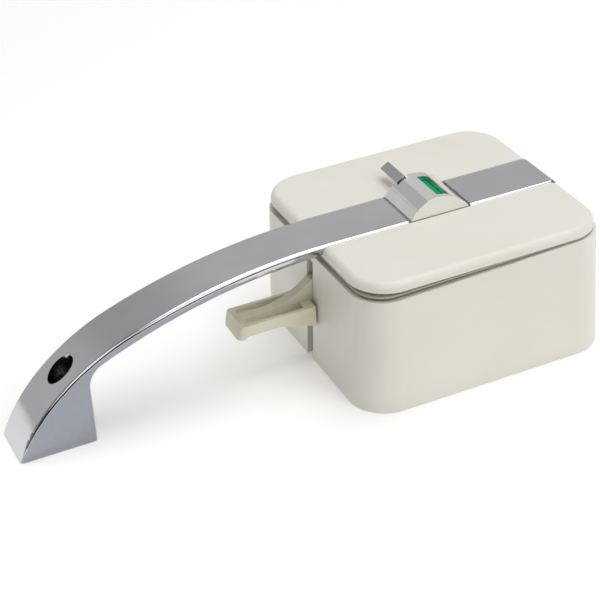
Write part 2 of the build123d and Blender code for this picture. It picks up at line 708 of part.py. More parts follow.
def slide_bridge():
    """The bridge over the slide, which also holds the fixed end of the latch spring."""
    bridge = block((-2, 4), (-13, 13), (PLATE, 6.4))
    bridge += block((2, 4), (-5, 5), (6.4, 15))
    bridge -= block((-3, 5), (-8.1, 8.1), (PLATE, SLIDE_TOP + GAP))
    for x, y in bridge_screw_places():
        bridge -= rod_z(x, y, 1.25, (PLATE, 5))
    return bridge


def bridge_screw_places():
    return [(1.0, -10.6), (1.0, 10.6)]


def bolt_guide():
    """The guide block behind the bolt's opening."""
    opening = (-BOLT_HALF - GAP, BOLT_HALF + GAP)
    guide = block((37, 42), (-13, 13), (PLATE, 19))
    guide -= block((36, 43), opening, (PLATE, BOLT_TOP + GAP))
    for x, y in guide_screw_places():
        guide -= rod_z(x, y, 1.25, (PLATE, 7))
    return guide


def guide_screw_places():
    return [(39.5, -10.6), (39.5, 10.6)]


def upright_screws(places, top):
    screws = Part()
    for x, y in places:
        screws += rod_z(x, y, 1.25, (0.1, top))
    return screws


def latch_spring():
    """The compression spring's space, between the bridge and the bolt."""
    outer = rod_x(0, BOLT_CENTRE, 3.6, (4, BOLT_BACK + 1.5))
    return outer - rod_x(0, BOLT_CENTRE, 2.7, (4, BOLT_BACK + 1.5))


# ---------------------------------------------------------------- files

NODES = {
    "base_case": base_case,
    "seam_gasket": seam_gasket,
    "case_inserts": case_inserts,
    "chassis_plate": chassis_plate,
    "chassis_screws": chassis_screws,
    "top_cover": top_cover,
    "cover_screws": cover_screws,
    "bow_handle": bow_handle,
    "handle_screws": handle_screws,
    "snib_hood": snib_hood,
    "hood_window": hood_window,
    "hood_screws": hood_screws,
    "indicator_drum": indicator_drum,
    "green_label": lambda: indicator_label((-0.5, 25)),
    "red_label": lambda: indicator_label((-34, -8.5)),
    "thumb_lever": thumb_lever,
    "snib_axle": snib_axle,
    "detent_spring": detent_spring,
    "detent_screw": detent_screw,
    "lifter_plate": lifter_plate,
    "lifter_column": lifter_column,
    "column_screws": lambda: upright_screws(column_screw_places(), 5),
    "trigger_lever": trigger_lever,
    "trigger_leg_pin": trigger_leg_pin,
    "trigger_axle": trigger_axle,
    "axle_clips": axle_clips,
    "trigger_spring": trigger_spring,
    "latch_slide": latch_slide,
    "latch_bolt": latch_bolt,
    "bolt_rivets": bolt_rivets,
    "clutch_guide": clutch_guide,
    "clutch_rivets": clutch_rivets,
    "clutch_dog": clutch_dog,
    "clutch_pin": clutch_pin,
    "slide_bridge": slide_bridge,
    "bridge_screws": lambda: upright_screws(bridge_screw_places(), 5),
    "bolt_guide": bolt_guide,
    "guide_screws": lambda: upright_screws(guide_screw_places(), 7),
    "latch_spring": latch_spring,
}


def main():
    os.makedirs("parts", exist_ok=True)
    for name, make in NODES.items():
        export_step(make(), f"parts/{name}.step")
        print("wrote", name)


main()
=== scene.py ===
# %% [markdown]
# # A surface-mounted lock handle
#
# The lock has a cream moulded box, a bright chrome bow handle that runs across its cover, a finger
# trigger under the bow, and a thumb snib that shows green or red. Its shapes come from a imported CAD
# model, which is loaded here as a fixed frame. Blender then gives every piece its edges, its screws
# and springs, and its finish.

# %% Load the frame
import json
from math import cos, pi, radians, sin, tau

import bmesh
import bpy
from mathutils import Matrix, Vector


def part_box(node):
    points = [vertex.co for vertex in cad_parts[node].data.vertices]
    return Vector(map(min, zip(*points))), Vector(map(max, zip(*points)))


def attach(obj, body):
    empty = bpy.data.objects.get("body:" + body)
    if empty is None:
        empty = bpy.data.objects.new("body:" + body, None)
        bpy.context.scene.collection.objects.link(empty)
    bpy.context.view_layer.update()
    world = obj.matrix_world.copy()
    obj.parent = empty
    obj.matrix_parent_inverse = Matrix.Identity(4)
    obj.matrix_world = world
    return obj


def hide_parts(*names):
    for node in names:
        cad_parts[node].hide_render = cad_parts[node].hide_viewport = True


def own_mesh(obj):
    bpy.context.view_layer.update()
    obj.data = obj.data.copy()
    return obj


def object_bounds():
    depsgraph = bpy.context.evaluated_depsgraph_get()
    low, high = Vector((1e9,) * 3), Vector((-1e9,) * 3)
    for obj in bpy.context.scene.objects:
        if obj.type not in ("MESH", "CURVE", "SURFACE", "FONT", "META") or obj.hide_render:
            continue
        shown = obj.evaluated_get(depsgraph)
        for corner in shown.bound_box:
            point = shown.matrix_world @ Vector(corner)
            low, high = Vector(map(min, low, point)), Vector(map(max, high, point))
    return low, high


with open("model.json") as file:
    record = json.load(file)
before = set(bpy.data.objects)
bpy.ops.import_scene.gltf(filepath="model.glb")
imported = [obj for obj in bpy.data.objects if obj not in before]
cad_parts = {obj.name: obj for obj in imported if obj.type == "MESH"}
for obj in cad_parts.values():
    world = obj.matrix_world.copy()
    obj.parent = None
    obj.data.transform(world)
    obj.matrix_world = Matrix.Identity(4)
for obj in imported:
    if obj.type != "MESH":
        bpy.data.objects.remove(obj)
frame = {"nodes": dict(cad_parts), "record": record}
cad_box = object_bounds()
MM = 0.001
print("CAD box, mm:", [round(c / MM, 1) for corner in cad_box for c in corner])

# %% [markdown]
# ## One helper for nodes
#
# A material and a Geometry Nodes tree are both graphs of nodes, so one small function can add a node
# to either: it makes the node, sets its options, and fills or links its inputs.

# %% Node helper
def add(tree, kind, inputs=None, **settings):
    """Add a node; an input is a value, or the output socket that feeds it."""
    node = tree.nodes.new(kind)
    for name, value in settings.items():
        setattr(node, name, value)
    for key, value in (inputs or {}).items():
        socket = node.inputs[key]
        if isinstance(value, bpy.types.NodeSocket):
            tree.links.new(value, socket)
        else:
            socket.default_value = value
    return node


# %% [markdown]
# ## Colours and patterns
#
# Colours are written as the hex values that a paint chart gives, and turned into the linear light that
# Blender works in. No real surface is quite even, so every finish is built from the same few patterns:
# a noise of a known size, two close tones, a range of gloss, and a relief of a few microns.

# %% Colour and pattern helpers
def linear(hex_colour):
    """An sRGB hex colour as linear RGBA."""
    channels = [int(hex_colour[i:i + 2], 16) / 255 for i in (1, 3, 5)]
    curve = [c / 12.92 if c <= 0.04045 else ((c + 0.055) / 1.055) ** 2.4 for c in channels]
    return (*curve, 1.0)


def finish_of(name):
    """A new material with its tree, its shader, and Object coordinates for its patterns."""
    material = bpy.data.materials.new(name)
    material.use_nodes = True
    tree = material.node_tree
    shader = tree.nodes["Principled BSDF"]
    place = add(tree, "ShaderNodeTexCoord").outputs["Object"]
    return material, tree, shader, place


def noise(tree, place, size_mm, detail=3.0, roughness=0.5):
    """Noise whose lumps are about the given size."""
    return add(tree, "ShaderNodeTexNoise", {
        "Vector": place, "Scale": 1 / (size_mm * MM), "Detail": detail, "Roughness": roughness,
    }).outputs["Fac"]


def between(tree, factor, low, high):
    """Turn a 0 to 1 pattern into a range of values."""
    return add(tree, "ShaderNodeMapRange", {"Value": factor, "To Min": low, "To Max": high}).outputs[0]


def two_tones(tree, factor, first, second, spread=(0.3, 0.7)):
    """Blend two hex colours by a pattern."""
    share = add(tree, "ShaderNodeMapRange", {
        "Value": factor, "From Min": spread[0], "From Max": spread[1],
    }).outputs[0]
    mix = add(tree, "ShaderNodeMix", {"Factor": share}, data_type="RGBA")
    mix.inputs[6].default_value = linear(first)
    mix.inputs[7].default_value = linear(second)
    return mix.outputs[2]


def relief(tree, shader, height, depth_mm, strength=1.0):
    """Use a pattern as a fine relief of a real depth."""
    bump = add(tree, "ShaderNodeBump", {
        "Height": height, "Distance": depth_mm * MM, "Strength": strength,
    })
    tree.links.new(bump.outputs["Normal"], shader.inputs["Normal"])


print("#808080 in linear light:", round(linear("#808080")[0], 3))

# %% [markdown]
# ## Moulded plastics
#
# The case and its cover are ABS, injected into a steel mould whose walls were eroded to a very fine
# satin. The eye gets an even cream with a soft, slightly broken gloss. The trigger is nylon: a little
# greener, with flow marks and a waxy sheen. Fine noise in the roughness and a relief of a few
# microns give that satin without changing any edge.

# %% Cream ABS
def moulded_abs():
    """Cream plastic, cloudy over centimetres and satin in the fine grain."""
    material, tree, shader, place = finish_of("cream_abs_satin_moulded")
    cloud = noise(tree, place, 28, 2.0)
    satin = noise(tree, place, 0.55, 4.0, 0.6)
    colour = two_tones(tree, cloud, "#E9E6DC", "#E5E2D6")
    tree.links.new(colour, shader.inputs["Base Color"])
    tree.links.new(between(tree, satin, 0.30, 0.42), shader.inputs["Roughness"])
    shader.inputs["IOR"].default_value = 1.53
    relief(tree, shader, satin, 0.010)
    return material


def moulded_nylon():
    """Greener cream, with flow marks that run along the trigger."""
    material, tree, shader, place = finish_of("nylon_moulded")
    stretched = add(tree, "ShaderNodeMapping", {"Vector": place, "Scale": (0.35, 1.0, 1.0)}).outputs[0]
    flow = noise(tree, stretched, 6, 3.0)
    grain = noise(tree, place, 0.4, 4.0, 0.6)
    colour = two_tones(tree, flow, "#E4E0CA", "#DAD6BD")
    tree.links.new(colour, shader.inputs["Base Color"])
    tree.links.new(between(tree, grain, 0.28, 0.44), shader.inputs["Roughness"])
    shader.inputs["IOR"].default_value = 1.53
    relief(tree, shader, grain, 0.012)
    return material


def moulded_acetal(name, first, second):
    """A hard, slippery plastic with a fine grain."""
    material, tree, shader, place = finish_of(name)
    grain = noise(tree, place, 0.5, 3.0)
    tree.links.new(two_tones(tree, grain, first, second), shader.inputs["Base Color"])
    tree.links.new(between(tree, grain, 0.35, 0.5), shader.inputs["Roughness"])
    shader.inputs["IOR"].default_value = 1.48
    relief(tree, shader, grain, 0.01)
    return material


def seal_rubber():
    """A dull, darker cream rubber."""
    material, tree, shader, place = finish_of("thermoplastic_rubber_extruded")
    grain = noise(tree, place, 0.25, 4.0)
    tree.links.new(two_tones(tree, grain, "#B8B2A2", "#A9A393"), shader.inputs["Base Color"])
    tree.links.new(between(tree, grain, 0.6, 0.8), shader.inputs["Roughness"])
    shader.inputs["IOR"].default_value = 1.50
    relief(tree, shader, grain, 0.02)
    return material


print("plastics: cream ABS, nylon, acetal and seal rubber")

# %% [markdown]
# ## Bright chrome on a die casting
#
# The handle and hood are zinc castings, polished and plated with nickel and chrome. A plated casting is
# a mirror that isn't quite flat: the polishing wheel leaves a slow ripple a few centimetres long, and
# hands leave faint wipe marks. The ripple bends reflections, so it is a very shallow relief, and the
# wipe marks only change the roughness. The snib's hood has the same recipe with lighter tones, a
# painted highlight that makes its reflections brighter than the handle's.

# %% Chrome
def polished_chrome(name, first, second):
    """A mirror with a slow ripple and faint wipe marks."""
    material, tree, shader, place = finish_of(name)
    along = add(tree, "ShaderNodeMapping", {"Vector": place, "Scale": (0.25, 1.0, 1.0)}).outputs[0]
    ripple = noise(tree, along, 9, 1.0)
    wipe = noise(tree, along, 1.6, 4.0, 0.65)
    cast = noise(tree, place, 18, 2.0)
    tree.links.new(two_tones(tree, cast, first, second), shader.inputs["Base Color"])
    shader.inputs["Metallic"].default_value = 1.0
    tree.links.new(between(tree, wipe, 0.07, 0.15), shader.inputs["Roughness"])
    relief(tree, shader, ripple, 0.010)
    return material


print("recipe for the castings: polished chrome")

# %% [markdown]
# ## Metals inside and on the back
#
# The back plate is steel sheet with a bright zinc coat, which dries in pale patches. The small turned
# and ground parts show fine lines round or along them. Springs are drawn wire with a thin oil-dark
# skin. Each is one call of the same recipe: two tones, a roughness range, and a relief.

# %% Small metals
def worked_metal(name, tones, gloss, grain_mm, depth_mm, stretch=(1.0, 1.0, 1.0)):
    """A metal with one grain, which a stretch can draw out into lines."""
    material, tree, shader, place = finish_of(name)
    drawn = add(tree, "ShaderNodeMapping", {"Vector": place, "Scale": stretch}).outputs[0]
    grain = noise(tree, drawn, grain_mm, 5.0, 0.6)
    tree.links.new(two_tones(tree, grain, *tones), shader.inputs["Base Color"])
    tree.links.new(between(tree, grain, *gloss), shader.inputs["Roughness"])
    shader.inputs["Metallic"].default_value = 1.0
    relief(tree, shader, grain, depth_mm)
    return material


def zinc_coat():
    """Pale crystals a few millimetres across, over a fine grain."""
    material, tree, shader, place = finish_of("steel_sheet_zinc_plated")
    crystals = add(tree, "ShaderNodeTexVoronoi", {"Vector": place, "Scale": 1 / (3.5 * MM)})
    grain = noise(tree, place, 0.3, 4.0)
    tree.links.new(two_tones(tree, crystals.outputs["Color"], "#B9BFC4", "#A4ABB2"),
                   shader.inputs["Base Color"])
    tree.links.new(between(tree, crystals.outputs["Distance"], 0.32, 0.5), shader.inputs["Roughness"])
    shader.inputs["Metallic"].default_value = 1.0
    relief(tree, shader, grain, 0.01)
    return material


print("recipes for the inside: worked metal and zinc coat")

# %% [markdown]
# ## Indicator colours and the clear window
#
# The indicator is a printed foil on the drum: saturated green for open, red for locked, with a fine
# print screen and a matt lacquer. The window over it is a thin sheet of clear acrylic. Light passes
# straight through so thin a sheet, so it is nearly transparent, and its own colour is almost black
# because clear acrylic scatters no light.

# %% Foils and acrylic
def printed_foil(name, first, second):
    """Flat ink in a fine diagonal screen, under a matt lacquer."""
    material, tree, shader, place = finish_of(name)
    screen = add(tree, "ShaderNodeTexWave", {
        "Vector": place, "Scale": 1 / (2.4 * MM), "Distortion": 0.4,
    }, bands_direction="DIAGONAL").outputs["Fac"]
    tree.links.new(two_tones(tree, screen, first, second, (0.0, 1.0)), shader.inputs["Base Color"])
    tree.links.new(between(tree, screen, 0.45, 0.55), shader.inputs["Roughness"])
    shader.inputs["IOR"].default_value = 1.50
    shader.inputs["Specular IOR Level"].default_value = 0.05
    return material


def clear_acrylic():
    """A thin clear sheet that lets nearly all light through."""
    material, tree, shader, place = finish_of("acrylic_clear_moulded")
    polish = noise(tree, place, 3, 3.0)
    shader.inputs["Base Color"].default_value = linear("#1C201E")
    shader.inputs["Alpha"].default_value = 0.04
    shader.inputs["IOR"].default_value = 1.49
    tree.links.new(between(tree, polish, 0.02, 0.05), shader.inputs["Roughness"])
    return material


FINISHES = {
    "case_abs": moulded_abs(),
    "chrome": polished_chrome("chrome_plated_polished", "#D0D0D2", "#C9C9CC"),
    "trigger_nylon": moulded_nylon(),
    "seal": seal_rubber(),
    "brass": worked_metal("brass_turned", ("#D8B56A", "#C29C4E"), (0.22, 0.36), 0.35, 0.006,
                          (1.0, 1.0, 4.0)),
    "zinc_steel": zinc_coat(),
    "screw_steel": worked_metal("steel_screw_zinc_plated", ("#C2C6C9", "#A9AEB2"), (0.25, 0.4), 0.4,
                                0.006),
    "ground_steel": worked_metal("steel_ground", ("#C4C5C6", "#ACADAF"), (0.14, 0.28), 0.5, 0.004,
                                 (1.0, 0.2, 1.0)),
    "spring_steel": worked_metal("spring_wire_drawn", ("#8C8E91", "#6F7276"), (0.22, 0.38), 0.3, 0.004),
    "acetal": moulded_acetal("acetal_white_moulded", "#EDEBE4", "#E3E1D9"),
    "drum_plastic": moulded_acetal("acetal_grey_moulded", "#5D6063", "#54575A"),
    "green_paint": printed_foil("foil_green_printed", "#08A86E", "#079E66"),
    "red_paint": printed_foil("foil_red_printed", "#DC2A32", "#CE222A"),
    "window": clear_acrylic(),
    "bolt_metal": worked_metal("zinc_casting_tumbled", ("#BDBFC0", "#A7A9AB"), (0.28, 0.44), 0.7, 0.012),
}
# The hood's chrome with lighter tones: a painted highlight, so its reflections come out brighter than the
# handle's.
SNIB_CHROME_PAINTED_BRIGHT = polished_chrome("chrome_polished_painted_bright", "#F1F1EE", "#EBEBE8")
slots_in_record = {m["slot"] for m in frame["record"]["materials"]}
print("finishes:", len(FINISHES), "slots without one:", sorted(slots_in_record - set(FINISHES)))

# %% [markdown]
# ## Which piece has which finish
#
# Every CAD node gets its finish here, even the ones that a finer piece replaces further on, because
# the new piece takes its finish from the same list.

# %% Finish of every node
NODE_FINISH = {
    "case_abs": ["base_case", "top_cover"],
    "chrome": ["bow_handle", "snib_hood", "thumb_lever"],
    "trigger_nylon": ["trigger_lever"],
    "seal": ["seam_gasket"],
    "brass": ["case_inserts"],
    "zinc_steel": ["chassis_plate", "slide_bridge", "latch_slide"],
    "screw_steel": ["chassis_screws", "cover_screws", "handle_screws", "hood_screws", "detent_screw",
                    "column_screws", "bridge_screws", "guide_screws", "axle_clips"],
    "ground_steel": ["snib_axle", "trigger_axle", "trigger_leg_pin", "clutch_pin", "clutch_dog",
                     "bolt_rivets", "clutch_rivets"],
    "spring_steel": ["detent_spring", "trigger_spring", "latch_spring"],
    "acetal": ["lifter_plate", "lifter_column", "bolt_guide", "clutch_guide"],
    "drum_plastic": ["indicator_drum"],
    "green_paint": ["green_label"],
    "red_paint": ["red_label"],
    "window": ["hood_window"],
    "bolt_metal": ["latch_bolt"],
}
slot_of = {node: slot for slot, nodes in NODE_FINISH.items() for node in nodes}
body_of = {node: body for body, nodes in frame["record"]["behaviour"]["bodies"].items() for node in nodes}
for name, node in frame["nodes"].items():
    node.data.materials.clear()
    node.data.materials.append(FINISHES[slot_of[name]])
print("nodes with a finish:", len(frame["nodes"]))

# %% [markdown]
# ## Pieces that take a CAD node's place
#
# A finer piece is baked to a plain mesh, so that it no longer depends on its modifiers. It then rides
# with the body of the node that it stands for, and takes that node's finish.

# %% Replacement helpers
def settle(piece, node, *others):
    """Make a finished mesh piece ride with the body of its CAD node, and hide the CAD nodes."""
    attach(piece, body_of[node])
    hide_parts(node, *others)
    return piece


def mesh_piece(name, mesh, node):
    """A new object at the origin that holds a mesh with the node's finish."""
    mesh.materials.clear()
    mesh.materials.append(FINISHES[slot_of[node]])
    piece = bpy.data.objects.new(name, mesh)
    bpy.context.collection.objects.link(piece)
    return piece


def baked(source, name, node):
    """Turn an object and its modifiers into a plain mesh piece, and remove the source."""
    bpy.context.view_layer.update()
    evaluated = source.evaluated_get(bpy.context.evaluated_depsgraph_get())
    mesh = bpy.data.meshes.new_from_object(evaluated)
    mesh.transform(source.matrix_world)
    bpy.data.objects.remove(source)
    return mesh_piece(name, mesh, node)


print("bodies to ride on:", sorted(set(body_of.values())))

# %% [markdown]
# ## Edges that catch the light
#
# CAD corners are perfectly sharp, and no moulding or casting is. A copy of each main piece has its
# loose triangles merged and its flat areas joined into whole faces, and then a Bevel modifier rounds the
# corners by a few tenths of a millimetre. A Weighted Normal modifier keeps the flats flat. The CAD
# mesh itself isn't touched.

# %% Rounding one piece
SAME_PLACE = 0.002 * MM  # corners nearer than this are one corner
SAME_FLAT = radians(0.4)  # faces that turn less than this are one flat
BEVEL_STEPS = 3


def eased(node, width_mm, corner):
    """A copy of a CAD node whose edges are rounded where they turn by more than the corner angle."""
    mesh = frame["nodes"][node].data.copy()
    work = bmesh.new()
    work.from_mesh(mesh)
    bmesh.ops.remove_doubles(work, verts=work.verts, dist=SAME_PLACE)
    bmesh.ops.dissolve_limit(work, angle_limit=SAME_FLAT, verts=work.verts, edges=work.edges)
    work.to_mesh(mesh)
    work.free()
    if "custom_normal" in mesh.attributes:
        mesh.attributes.remove(mesh.attributes["custom_normal"])
    source = mesh_piece(node + "_source", mesh, node)
    bevel = source.modifiers.new("edge", "BEVEL")
    bevel.width = width_mm * MM
    bevel.segments = BEVEL_STEPS
    bevel.limit_method = "ANGLE"
    bevel.angle_limit = radians(corner)
    bevel.use_clamp_overlap = True
    bevel.miter_outer = "MITER_ARC"
    mesh.shade_smooth()
    weigh = source.modifiers.new("flats", "WEIGHTED_NORMAL")
    weigh.keep_sharp = True
    return settle(baked(source, node + "_eased", node), node)


print("an edge is rounded in", BEVEL_STEPS, "steps")

# %% [markdown]
# ## Which pieces are rounded
#
# The case has the softest corners, and the gasket, the hood and the sheet metal have the tightest. The
# hood's sloping side meets its top in a low ridge, so its corner angle is smaller than the others':
# the ridge then counts as an edge and stays crisp.

# %% Rounded pieces
EASED_MM = {
    "base_case": 0.35, "top_cover": 0.2, "trigger_lever": 0.3, "bow_handle": 0.2, "snib_hood": 0.12,
    "thumb_lever": 0.2, "latch_bolt": 0.3, "chassis_plate": 0.12, "seam_gasket": 0.1,
}
PLAIN_CORNER, RIDGE_CORNER = 30, 12  # degrees
for node, width in EASED_MM.items():
    piece = eased(node, width, RIDGE_CORNER if node == "snib_hood" else PLAIN_CORNER)
    if node == "snib_hood":
        # the hood takes the chrome with lighter tones, a painted highlight
        piece.data.materials[0] = SNIB_CHROME_PAINTED_BRIGHT
    low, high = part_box(node)
    new = [max(v.co[i] for v in piece.data.vertices) - high[i] for i in range(3)]
    print(node, "triangles", sum(len(p.vertices) - 2 for p in piece.data.polygons),
          "outgrowth mm", [round(n / MM, 3) for n in new])

# %% [markdown]
# ## Geometry Nodes trees
#
# A tree takes points and sizes in, and gives finished geometry back. Every tree starts with the same
# sockets, and most of its steps are a move or a sum, so those three things get a helper each.

# %% Tree helpers
def tree_with(name, sockets):
    """An empty Geometry Nodes tree with named inputs, and its group input and output."""
    tree = bpy.data.node_groups.new(name, "GeometryNodeTree")
    tree.interface.new_socket("Geometry", in_out="INPUT", socket_type="NodeSocketGeometry")
    tree.interface.new_socket("Geometry", in_out="OUTPUT", socket_type="NodeSocketGeometry")
    for socket, kind in sockets.items():
        tree.interface.new_socket(socket, in_out="INPUT", socket_type="NodeSocket" + kind)
    entry = add(tree, "NodeGroupInput").outputs
    leave = add(tree, "NodeGroupOutput")
    return tree, entry, leave


def moved(tree, geometry, x=0.0, y=0.0, z=0.0, turn=(0.0, 0.0, 0.0)):
    """A piece of geometry moved to x, y, z, each a number or a socket."""
    place = add(tree, "ShaderNodeCombineXYZ", {"X": x, "Y": y, "Z": z}).outputs[0]
    return add(tree, "GeometryNodeTransform", {
        "Geometry": geometry, "Translation": place, "Rotation": turn,
    }).outputs[0]


def maths(tree, first, second, operation="MULTIPLY"):
    """The result of a Math node: a product, unless another operation is named."""
    return add(tree, "ShaderNodeMath", {0: first, 1: second}, operation=operation).outputs[0]


# %% [markdown]
# ## Screws
#
# All the screws are one idea: a head, a threaded shank, and a cross for the driver. A Geometry Nodes tree
# can build one screw from its sizes and copy it to every place where one sits, so a change to the
# recipe changes them all. The thread is a real helix, made by sweeping a small triangle along a
# spiral, and the cross is cut with two crossed bars.

# %% The screw tree
CUT_THROUGH = 1.3  # height of the cross bars, as a share of the head's
BAR_SHARE = 0.24  # width of a bar, as a share of its length
CORE_SHARE = 0.82  # radius under the thread, as a share of the shank's
THREADED = 0.92  # share of the shank with a thread
CREST_SHARE = 0.4  # size of the thread's ridge, as a share of the pitch
SEATED = 0.96  # where the core starts inside the head, as a share of the head's height


def screw_tree():
    """One screw, copied to every point: its head down on the point, its shank up."""
    tree, entry, leave = tree_with("screws", {
        "Head Radius": "Float", "Neck Radius": "Float", "Head Height": "Float",
        "Shank Radius": "Float", "Shank Length": "Float", "Pitch": "Float", "Cross": "Float",
        "Finish": "Material",
    })
    head = add(tree, "GeometryNodeMeshCone", {
        "Vertices": 40, "Radius Bottom": entry["Head Radius"], "Radius Top": entry["Neck Radius"],
        "Depth": entry["Head Height"],
    }).outputs[0]
    slot_depth = maths(tree, entry["Head Height"], CUT_THROUGH)
    wide, narrow = entry["Cross"], maths(tree, entry["Cross"], BAR_SHARE)
    bars = []
    for size_x, size_y in ((wide, narrow), (narrow, wide)):
        size = add(tree, "ShaderNodeCombineXYZ", {"X": size_x, "Y": size_y, "Z": slot_depth}).outputs[0]
        bars.append(add(tree, "GeometryNodeMeshCube", {"Size": size}).outputs[0])
    cut = add(tree, "GeometryNodeMeshBoolean", {"Mesh 1": head}, operation="DIFFERENCE", solver="EXACT")
    for bar in bars:
        tree.links.new(bar, cut.inputs["Mesh 2"])
    core_radius = maths(tree, entry["Shank Radius"], CORE_SHARE)
    core = add(tree, "GeometryNodeMeshCylinder", {
        "Vertices": 24, "Radius": core_radius, "Depth": entry["Shank Length"],
    }).outputs[0]
    half = maths(tree, entry["Shank Length"], 0.5)
    overlap = maths(tree, entry["Head Height"], SEATED)
    core = moved(tree, core, z=maths(tree, half, overlap, "ADD"))
    turns = maths(tree, maths(tree, entry["Shank Length"], THREADED), entry["Pitch"], "DIVIDE")
    crest = maths(tree, entry["Pitch"], CREST_SHARE)
    helix_radius = maths(tree, entry["Shank Radius"], crest, "SUBTRACT")
    helix = add(tree, "GeometryNodeCurveSpiral", {
        "Resolution": 20, "Rotations": turns, "Start Radius": helix_radius, "End Radius": helix_radius,
        "Height": maths(tree, entry["Shank Length"], THREADED),
    }).outputs[0]
    ridge = add(tree, "GeometryNodeCurvePrimitiveCircle", {"Resolution": 3, "Radius": crest}).outputs[0]
    thread = add(tree, "GeometryNodeCurveToMesh", {
        "Curve": helix, "Profile Curve": ridge, "Fill Caps": True,
    }).outputs[0]
    thread = moved(tree, thread, z=entry["Head Height"])
    whole = add(tree, "GeometryNodeJoinGeometry")
    for part in (cut.outputs[0], core, thread):
        tree.links.new(part, whole.inputs[0])
    copies = add(tree, "GeometryNodeInstanceOnPoints", {
        "Points": entry["Geometry"], "Instance": whole.outputs[0],
    }).outputs[0]
    real = add(tree, "GeometryNodeRealizeInstances", {"Geometry": copies}).outputs[0]
    painted = add(tree, "GeometryNodeSetMaterial", {"Geometry": real, "Material": entry["Finish"]})
    tree.links.new(painted.outputs[0], leave.inputs[0])
    return tree


SCREWS = screw_tree()
print("nodes in the screw tree:", len(SCREWS.nodes))

# %% [markdown]
# ## From points to pieces
#
# A tree runs as a modifier on a mesh of bare points, one for each place. Its result is then baked like
# the rounded pieces were.

# %% Running a tree
def from_points(name, node, points, tree, sizes):
    """Run a tree on a few points, bake it to a mesh, and let it stand for the CAD node."""
    mesh = bpy.data.meshes.new(name)
    mesh.from_pydata(points, [], [])
    source = bpy.data.objects.new(name + "_source", mesh)
    bpy.context.collection.objects.link(source)
    modifier = source.modifiers.new("tree", "NODES")
    modifier.node_group = tree
    inputs = {s.name: s.identifier for s in tree.interface.items_tree if s.in_out == "INPUT"}
    for key, value in sizes.items():
        modifier[inputs[key]] = value
    modifier[inputs["Finish"]] = FINISHES[slot_of[node]]
    piece = settle(baked(source, name, node), node)
    print(name, "triangles", sum(len(p.vertices) - 2 for p in piece.data.polygons))
    return piece


# %% [markdown]
# ## Where the screws sit
#
# The CAD holds each set of screws as plain pegs. Their places are read from those pegs: the loose
# pegs of a node are told apart by the links between their corners, and the middle of each one's box
# is the screw's axis.

# %% Screws in place
def islands(node):
    """The boxes of a CAD node's separate solids, as pairs of corners."""
    work = bmesh.new()
    work.from_mesh(frame["nodes"][node].data)
    bmesh.ops.remove_doubles(work, verts=work.verts, dist=SAME_PLACE)
    left, boxes = set(work.verts), []
    while left:
        stack, group = [left.pop()], []
        while stack:
            vertex = stack.pop()
            group.append(vertex.co.copy())
            for edge in vertex.link_edges:
                other = edge.other_vert(vertex)
                if other in left:
                    left.discard(other)
                    stack.append(other)
        boxes.append([Vector(f(c[i] for c in group) for i in range(3)) for f in (min, max)])
    work.free()
    return sorted(boxes, key=lambda b: tuple(round(c, 5) for c in b[0]))


def peg_feet(node):
    """The foot of each peg: the middle of its lower end."""
    return [((low.x + high.x) / 2, (low.y + high.y) / 2, low.z) for low, high in islands(node)]


def screws(node, head, neck, height, shank, pitch, cross):
    """Screws that stand for a node, with sizes in millimetres; the length comes from the pegs."""
    low, high = islands(node)[0]
    length = (high.z - low.z) / MM - height
    sizes = {"Head Radius": head, "Neck Radius": neck, "Head Height": height, "Shank Radius": shank,
             "Shank Length": length, "Pitch": pitch, "Cross": cross}
    return from_points(node + "_driven", node, peg_feet(node), SCREWS,
                       {key: value * MM for key, value in sizes.items()})


# head radius, neck radius, head height, shank radius, pitch and cross, in millimetres
screws("chassis_screws", 3.0, 1.5, 1.5, 1.5, 0.8, 3.2)
screws("cover_screws", 2.3, 2.8, 1.8, 1.2, 0.6, 2.8)
screws("handle_screws", 3.0, 3.6, 1.9, 1.25, 0.6, 3.2)
screws("hood_screws", 1.3, 1.6, 1.0, 0.8, 0.45, 1.7)
screws("detent_screw", 1.6, 2.0, 1.3, 1.0, 0.5, 2.0)
for grub in ("column_screws", "bridge_screws", "guide_screws"):
    screws(grub, 1.25, 1.2, 0.8, 1.25, 0.5, 1.5)

# %% [markdown]
# ## Knurled brass inserts
#
# The four mounting screws go into brass inserts, pressed hot into the posts. Their outside is knurled
# so that the plastic grips them. A star-shaped outline with many shallow points, extruded round a
# plain bore, is exactly a straight knurl.

